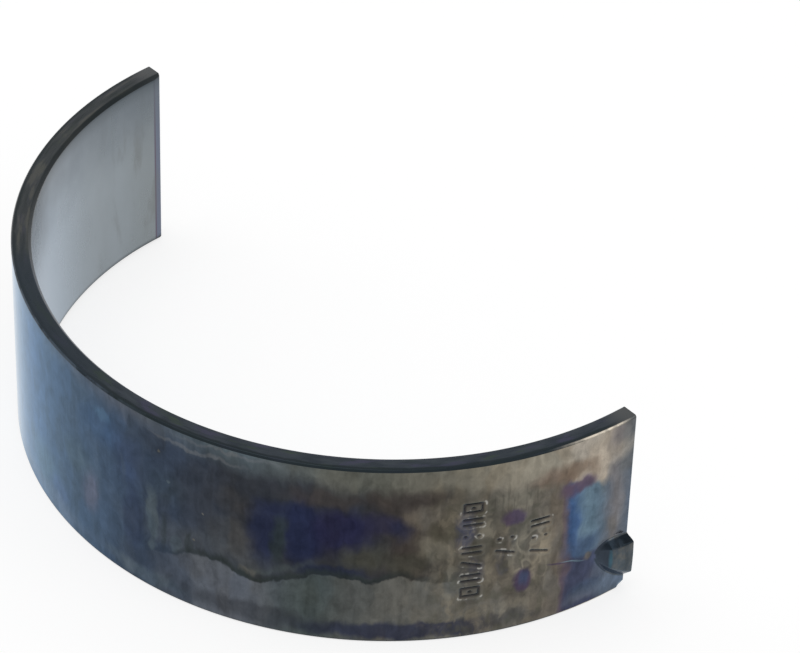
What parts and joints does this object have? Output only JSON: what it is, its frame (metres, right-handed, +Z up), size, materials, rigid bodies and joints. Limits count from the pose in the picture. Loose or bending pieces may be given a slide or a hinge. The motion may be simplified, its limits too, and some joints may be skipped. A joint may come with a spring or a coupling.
{
  "type": "engine bearing shell",
  "caption": "Half shell of a split plain bearing: a thin bent steel strip with chamfered rims and a pressed-out locating lug at one parting face.",
  "frame": {"origin": "centre of the footprint, on the plane of the lower rim edge that the shell stands on", "axes": "+Z up, along the axis of the bore; +Y towards the open side, square to the line between the parting faces; +X towards the end with the locating lug"},
  "size_m": [0.0618, 0.03, 0.0178],
  "materials": {
    "tinted_steel": "satin steel back with blue, violet and straw heat tint, and a plain grey lining in the bore"
  },
  "bodies": {
    "root": {"bearing_shell": "tinted_steel"}
  },
  "joints": []
}
